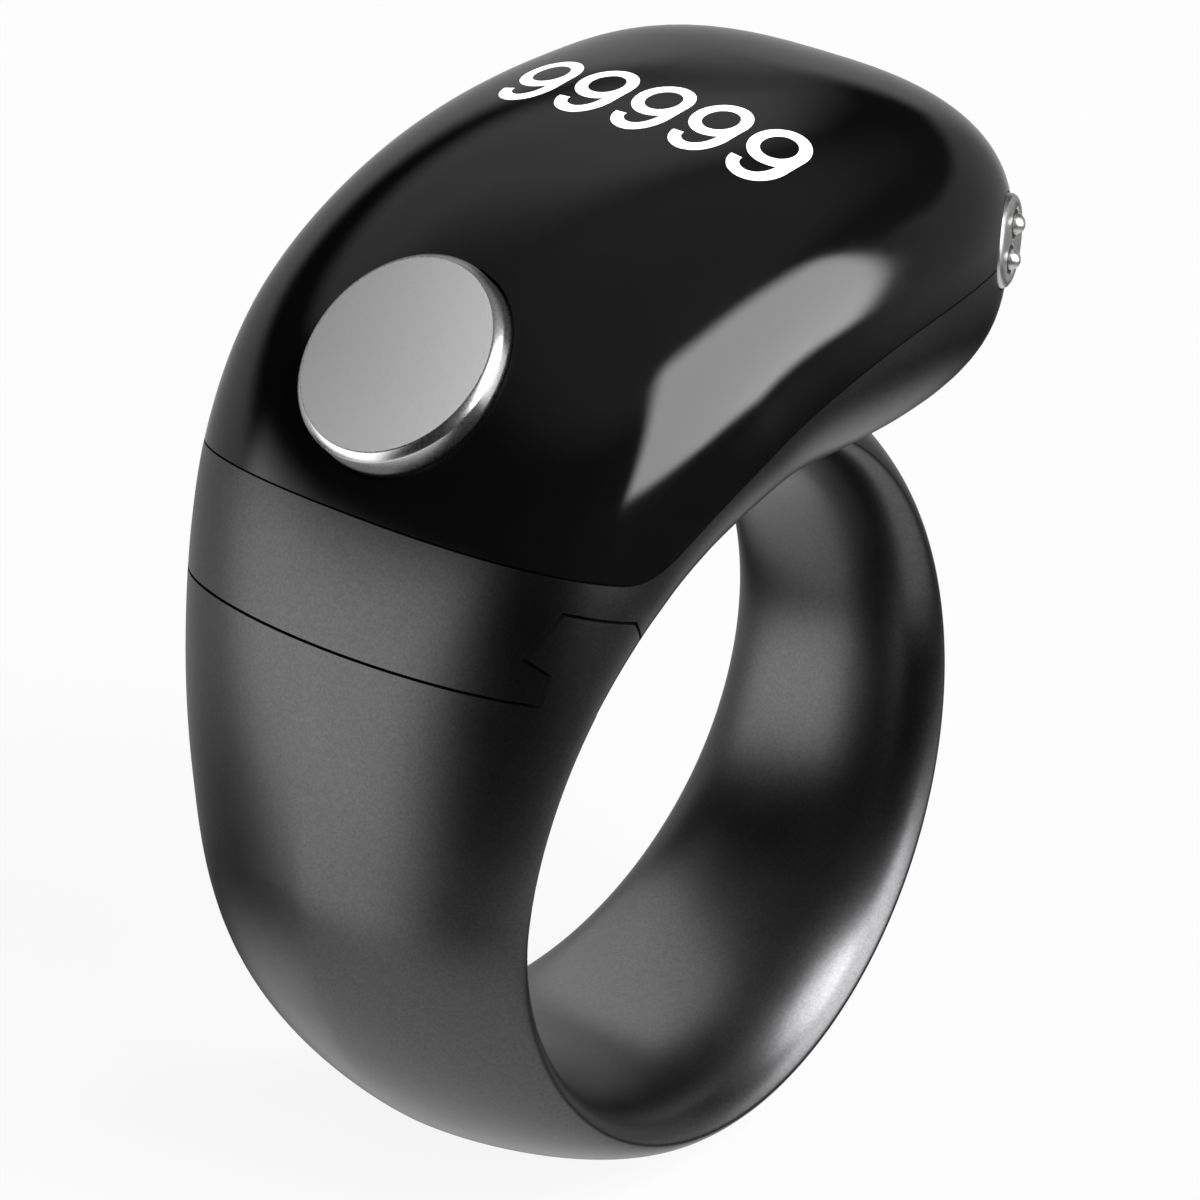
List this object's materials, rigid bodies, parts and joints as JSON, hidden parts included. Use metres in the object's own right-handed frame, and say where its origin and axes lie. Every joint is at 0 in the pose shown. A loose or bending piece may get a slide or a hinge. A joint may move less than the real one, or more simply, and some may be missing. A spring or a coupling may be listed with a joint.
{
  "type": "finger_counter",
  "caption": "Ring-style digital finger counter: glossy black display head with a round silver count button on a satin dark grey band that slides off sideways",
  "frame": {"origin": "centre of the finger bore", "axes": "X runs from the band's left side towards the nose that overhangs on the right, Y along the finger from the side that shows the tongue to the far side, and Z from the finger up through the middle of the head"},
  "size_m": [0.0264, 0.0174, 0.0322],
  "materials": {
    "shell": "satin metallic dark grey coat",
    "gloss_cap": "polished piano black",
    "button_silver": "fine matt with a bright turned rim",
    "contact": "plated, polished",
    "steel": "plain drawn sheet",
    "magnet": "nickel plated",
    "rubber": "matt moulded",
    "foam": "open foam pad",
    "display": "dark display glass",
    "board": "solder mask",
    "film": "amber film",
    "foil": "pouch foil",
    "black_part": "moulded matt",
    "white_part": "moulded matt",
    "red_lead": "lead sleeve"
  },
  "bodies": {
    "head": {"head_housing": "shell", "top_cap": "gloss_cap", "cap_seal": "rubber", "button_seal": "rubber", "switch_body": "black_part", "button_board": "board", "button_flex": "film", "main_board": "board", "display_panel": "display", "display_frame": "black_part", "display_flex": "film", "controller_chip": "black_part", "crystal": "steel", "antenna": "white_part", "vibration_motor": "steel", "motor_pad": "foam", "battery_cell": "foil", "battery_pad": "foam", "battery_lead_pos": "red_lead", "battery_lead_neg": "black_part", "charging_disc": "contact", "charging_pin_1": "contact", "charging_pin_2": "contact", "pin_sleeve_1": "black_part", "pin_sleeve_2": "black_part", "charging_magnet": "magnet"},
    "button": {"count_button": "button_silver", "button_clip": "steel"},
    "plunger": {"switch_plunger": "white_part"},
    "band": {"band": "shell"}
  },
  "joints": [
    {"name": "button_press", "type": "slide", "parent": "head", "child": "button", "axis": [0.6909, 0, -0.723], "range_m": [0, 0.00035], "stiffness_N_per_m": 3000},
    {"name": "plunger_press", "type": "slide", "parent": "head", "child": "plunger", "axis": [0.6909, 0, -0.723], "range_m": [0, 0.00035]},
    {"name": "band_slide", "type": "slide", "parent": "head", "child": "band", "axis": [0, -1, 0], "range_m": [0, 0.0145]}
  ],
  "couplings": [
    {"joint": "plunger_press", "follows": "button_press", "ratio": 1}
  ]
}
